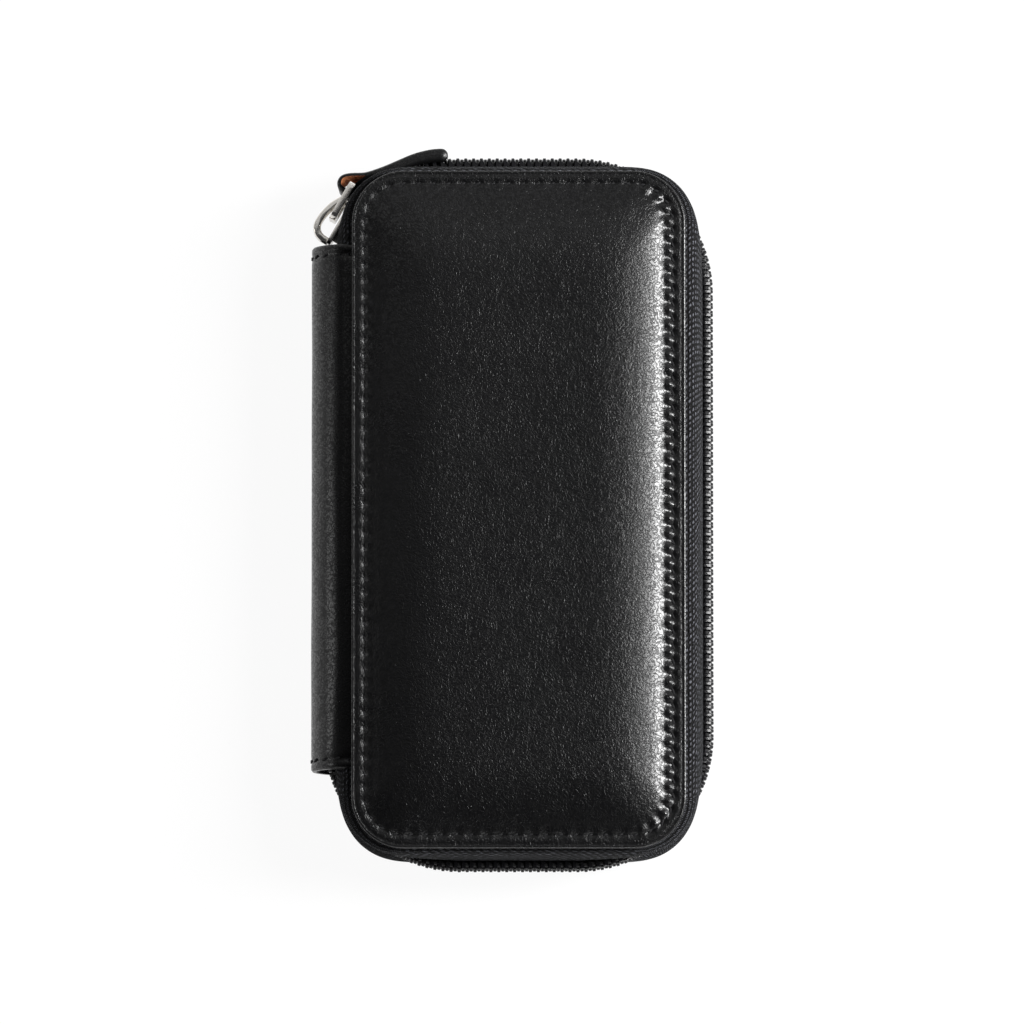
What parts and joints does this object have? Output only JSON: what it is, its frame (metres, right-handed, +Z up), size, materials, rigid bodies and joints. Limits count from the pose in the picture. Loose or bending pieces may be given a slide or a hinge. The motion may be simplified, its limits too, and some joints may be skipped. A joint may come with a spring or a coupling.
{
  "type": "zip-around pen case",
  "caption": "Flat zip-around pen case with padded leather covers, a leather spine, a coil zip with metal slider and leather pull, and pen loops inside.",
  "frame": {"origin": "on the surface the case lies on, under the middle of the back cover", "axes": "+X away from the spine, +Y along the case to the end with the zip slider, +Z up out of the front cover"},
  "size_m": [0.0923, 0.1676, 0.032],
  "materials": {
    "cover_leather": "smooth black calf, softly polished, fine crackle grain",
    "tab_leather": "black leather folded double, brown flesh side inside the fold",
    "insert_leather": "thin matt black leather",
    "loop_leather": "soft matt black leather",
    "lining": "black microsuede",
    "zip_tape": "black woven polyester tape",
    "zip_coil": "black nylon, semi-gloss",
    "foam": "soft foam padding",
    "board": "grey bookbinder's board",
    "nickel": "polished nickel plate"
  },
  "bodies": {
    "back_cover": {"back_leather": "cover_leather", "back_foam": "foam", "back_board": "board", "back_lining": "lining", "back_zip_tape": "zip_tape", "back_zip_coil": "zip_coil", "pen_panel": "insert_leather", "pen_loop_1": "loop_leather", "pen_loop_2": "loop_leather", "pen_loop_3": "loop_leather"},
    "spine": {"spine_leather": "cover_leather", "spine_lining": "lining"},
    "front_cover": {"front_leather": "cover_leather", "front_foam": "foam", "front_board": "board", "front_lining": "lining", "front_zip_tape": "zip_tape", "front_zip_coil": "zip_coil", "slip_pocket": "insert_leather"},
    "slider": {"slider_body": "nickel", "slider_bridge": "nickel"},
    "pull_link": {"pull_link": "nickel"},
    "pull_tab": {"pull_tab": "tab_leather"}
  },
  "joints": [
    {"name": "spine_fold", "type": "hinge", "parent": "back_cover", "child": "spine", "pos_m": [-0.04425, 0, 0.008], "axis": [0, -1, 0], "range_deg": [0, 90], "deforming": ["spine_leather", "spine_lining"]},
    {"name": "cover_fold", "type": "hinge", "parent": "spine", "child": "front_cover", "pos_m": [-0.04425, 0, 0.024], "axis": [0, -1, 0], "range_deg": [0, 90]},
    {"name": "zip_travel", "type": "hinge", "parent": "front_cover", "child": "slider", "pos_m": [-0.01345, 0.0512, 0.016], "axis": [0, 0, 1], "range_deg": [-60, 0], "deforming": ["front_zip_coil", "back_zip_coil"]},
    {"name": "link_swing", "type": "hinge", "parent": "slider", "child": "pull_link", "pos_m": [-0.04269, 0.06866, 0.016], "axis": [0, 0, 1], "range_deg": [0, 110]},
    {"name": "tab_swing", "type": "hinge", "parent": "pull_link", "child": "pull_tab", "pos_m": [-0.03838, 0.07611, 0.016], "axis": [0, 0, 1], "range_deg": [0, 45]}
  ],
  "couplings": [
    {"joint": "cover_fold", "follows": "spine_fold", "ratio": 1},
    {"joint": "tab_swing", "follows": "zip_travel", "ratio": -0.7}
  ]
}
